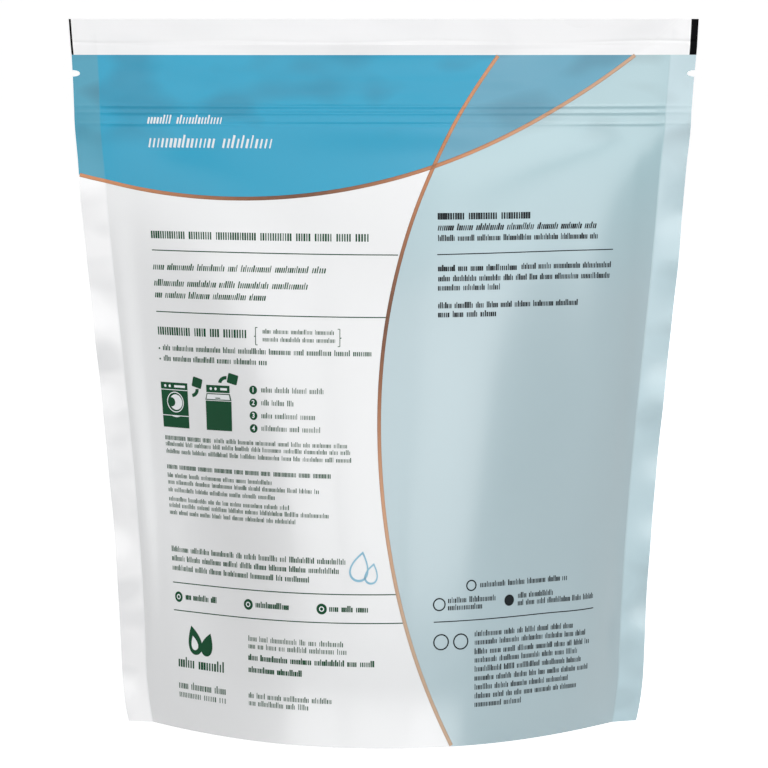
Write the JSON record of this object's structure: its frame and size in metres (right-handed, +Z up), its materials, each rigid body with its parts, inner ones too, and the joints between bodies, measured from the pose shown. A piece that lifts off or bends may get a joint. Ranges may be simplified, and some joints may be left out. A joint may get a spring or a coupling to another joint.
{
  "type": "laundry booster pod bag",
  "caption": "Filled stand-up pouch of laminated film with side seals, tear notches, a press-to-close strip and a bottom gusset.",
  "frame": {"origin": "under the middle of the pouch, on the surface it stands on", "axes": "+Z up to the header, +X along the width with the tear notches at both ends, the printed panel faces -Y"},
  "size_m": [0.203, 0.097, 0.2305],
  "materials": {
    "printed_film": "satin laminated film with printed colour fields"
  },
  "bodies": {
    "root": {"pouch": "printed_film"}
  },
  "joints": []
}
